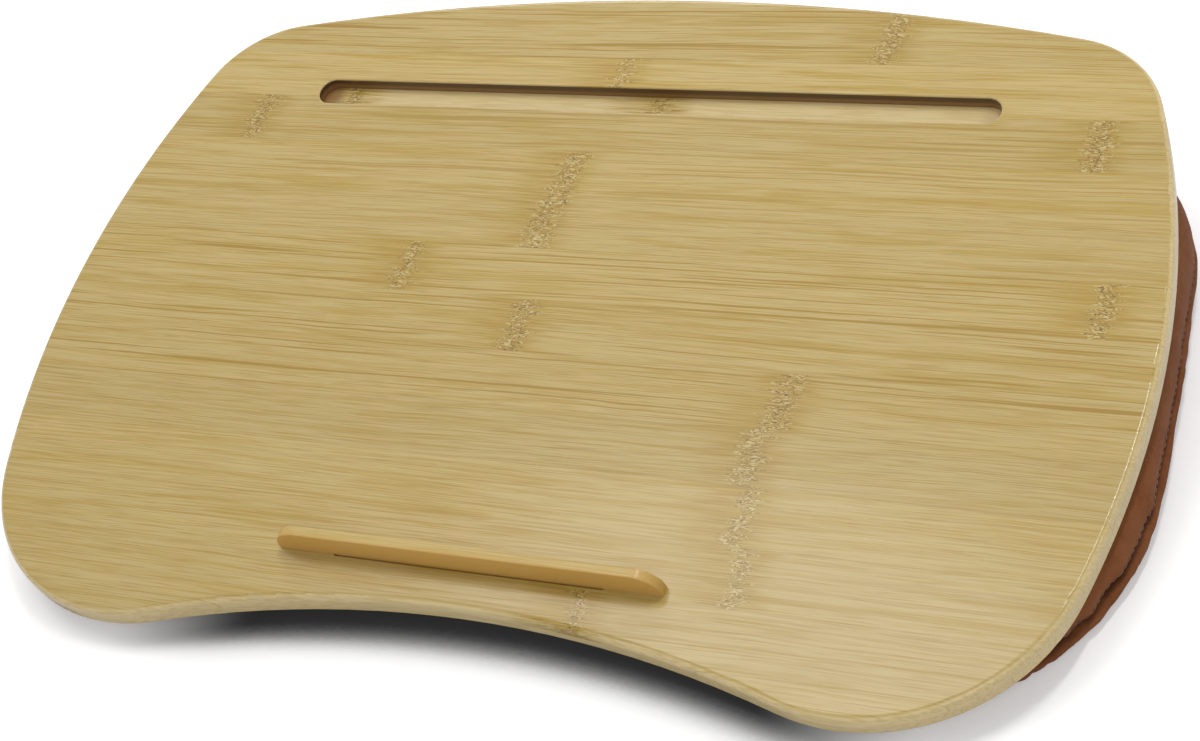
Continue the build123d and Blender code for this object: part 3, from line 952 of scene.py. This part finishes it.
# Zip
tape = {
    "dark": (0.075, 0.03, 0.014), "light": (0.16, 0.07, 0.034), "chevron": 0.7, "rib": 0.8, "cord": 1.4,
    "roughness": 0.75, "sheen": 0.25, "bump": 0.6, "relief": 0.12,
}
nylon = {
    "dark": (0.10, 0.042, 0.02), "light": (0.19, 0.09, 0.045), "shade": (900, 900, 900),
    "roughness": 0.3, "bump": 0.2, "relief": 0.05,
}
brass = {
    "dark": (0.30, 0.19, 0.09), "light": (0.45, 0.30, 0.15),
    "stain": (260, 260, 260), "scuff": (300, 2200, 2200),
    "smoothest": 0.28, "roughest": 0.5, "bump": 0.15, "relief": 0.05,
}


def tapeMaterial():
    made, tree, shader = newMaterial("zipTape")
    place = objectPlace(tree)
    along = addNode(tree, "ShaderNodeSeparateXYZ", {0: place}).outputs[0]
    values = {0: place, 1: zipAxis}
    across = addNode(tree, "ShaderNodeVectorMath", values, operation="DOT_PRODUCT").outputs["Value"]
    slope = calc(tree, "ADD", along, calc(tree, "PINGPONG", across, tape["chevron"] * mm))
    rib = calc(tree, "SINE", calc(tree, "MULTIPLY", slope, 2 * math.pi / (tape["rib"] * mm)))
    cords = calc(tree, "SINE", calc(tree, "MULTIPLY", across, 2 * math.pi / (tape["cord"] * mm)))
    weave = calc(tree, "MULTIPLY", rib, ramp(tree, cords, -1.0, 0.2, 0.3, 1.0))
    colour = blend(tree, ramp(tree, weave, -0.8, 0.8), tape["dark"], tape["light"])
    values = {"Base Color": colour, "Roughness": tape["roughness"], "Sheen Weight": tape["sheen"]}
    plug(tree, shader, values)
    bumpInto(tree, shader, weave, tape["bump"], tape["relief"])
    return made


def nylonMaterial():
    made, tree, shader = newMaterial("zipNylon")
    shade = grain(tree, objectPlace(tree), nylon["shade"], 9.0, 2.0)
    colour = blend(tree, ramp(tree, shade, 0.35, 0.65), nylon["dark"], nylon["light"])
    plug(tree, shader, {"Base Color": colour, "Roughness": nylon["roughness"]})
    bumpInto(tree, shader, shade, nylon["bump"], nylon["relief"])
    return made


def brassMaterial(name, seed):
    made, tree, shader = newMaterial(name)
    place = objectPlace(tree)
    stain = grain(tree, place, brass["stain"], 5.0 + seed, 4.0, 0.6)
    scuff = grain(tree, place, brass["scuff"], 6.0 + seed, 2.0)
    colour = blend(tree, ramp(tree, stain, 0.4, 0.62), brass["dark"], brass["light"])
    rough = ramp(tree, scuff, 0.3, 0.7, brass["smoothest"], brass["roughest"])
    plug(tree, shader, {"Base Color": colour, "Roughness": rough, "Metallic": 1.0})
    bumpInto(tree, shader, scuff, brass["bump"], brass["relief"])
    return made


def zipTeeth(tree, side, material):
    # Each tooth bends over from the zip's middle to the outer side of its row
    thick, lean, rise, pitch = (zipper["tooth" + size] for size in ("Thick", "Lean", "Rise", "Pitch"))
    inner, outer = zipper["toothInner"] + thick, zipper["toothOuter"]
    route = [
        (lean, inner, -rise), (0.1, inner + 0.05, 0.2), (0, inner + 0.5, rise),
        (-0.1, outer - 0.5, rise - 0.05), (-lean, outer - 0.1, -rise),
    ]
    shape = tubeShape("tooth", [(x, -side * y, z) for x, y, z in route], thick)
    start = -zipper["coilLength"] / 2 + (0 if side < 0 else pitch / 2)
    path = []
    for step in range(zipper["teethSteps"] + 1):
        along = start + (zipper["coilLength"] - pitch) * step / zipper["teethSteps"]
        path.append(zipPoint(along, 0, bandRadius))
    row = alongPath("teeth", tree, path, False, shape, pitch, material)
    bpy.data.objects.remove(shape)
    return row


def zipCore():
    # The cord that the teeth are sewn to
    half, low, high = zipper["coreHalf"], zipper["coreLow"], zipper["coreHigh"]
    corners = ((-half, low), (half, low), (half, high), (-half, high))
    rings = []
    for step in range(zipper["coreSteps"] + 1):
        along = zipper["coilLength"] * (step / zipper["coreSteps"] - 0.5)
        rings.append([zipPoint(along, across, bandRadius + out)[0] for across, out in corners])
    return newObject("core", skinOver("core", rings))


def makeZip(tree):
    material = nylonMaterial()
    rows = [zipTeeth(tree, side, material) for side in (-1, 1)]
    coil = joined("zipCoil", rows + [zipCore()], material)
    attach(coil, "cushion")
    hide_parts("zip_coil_upper", "zip_coil_lower")
    woven = tapeMaterial()
    for name in ("zip_tape_upper", "zip_tape_lower"):
        putOn(nodes[name], woven)
    for seed, name in enumerate(("zip_stops", "zip_slider", "zip_pull")):
        putOn(nodes[name], brassMaterial(name + "Brass", seed))
    print("zip coil:", len(coil.data.polygons), "faces")


# Hook and loop patches
patches = {
    "hook_patches": {
        "name": "hookTape", "dark": (0.05, 0.024, 0.013), "light": (0.14, 0.07, 0.04),
        "scale": 900, "relief": 0.3,
    },
    "loop_patches": {
        "name": "loopTape", "dark": (0.07, 0.032, 0.017), "light": (0.20, 0.10, 0.058),
        "scale": 650, "relief": 0.5,
    },
}
tufts = {"fuzz": (1500, 1500, 1500), "fuzzShare": 0.5, "roughness": 0.8, "sheen": 0.4, "bump": 0.8}


def tuftMaterial(name, dark, light, scale, relief):
    made, tree, shader = newMaterial(name)
    place = objectPlace(tree)
    cells = addNode(tree, "ShaderNodeTexVoronoi", {"Vector": place, "Scale": scale}).outputs["Distance"]
    fuzz = grain(tree, place, tufts["fuzz"], 8.0, 3.0, 0.7)
    tuft = calc(tree, "ADD", cells, calc(tree, "MULTIPLY", fuzz, tufts["fuzzShare"]))
    colour = blend(tree, ramp(tree, tuft, 0.3, 0.95), light, dark)
    values = {"Base Color": colour, "Roughness": tufts["roughness"], "Sheen Weight": tufts["sheen"]}
    plug(tree, shader, values)
    bumpInto(tree, shader, calc(tree, "MULTIPLY", tuft, -1.0), tufts["bump"], relief)
    return made


def dressPatches():
    for name, look in patches.items():
        putOn(nodes[name], tuftMaterial(**look))
    print("patches dressed:", ", ".join(patches))


makeCamera()
makeStudio()
dressBoard()
cover = makeCushion()
repeat = repeatTree()
makeStitches(cover, repeat)
makeZip(repeat)
dressPatches()
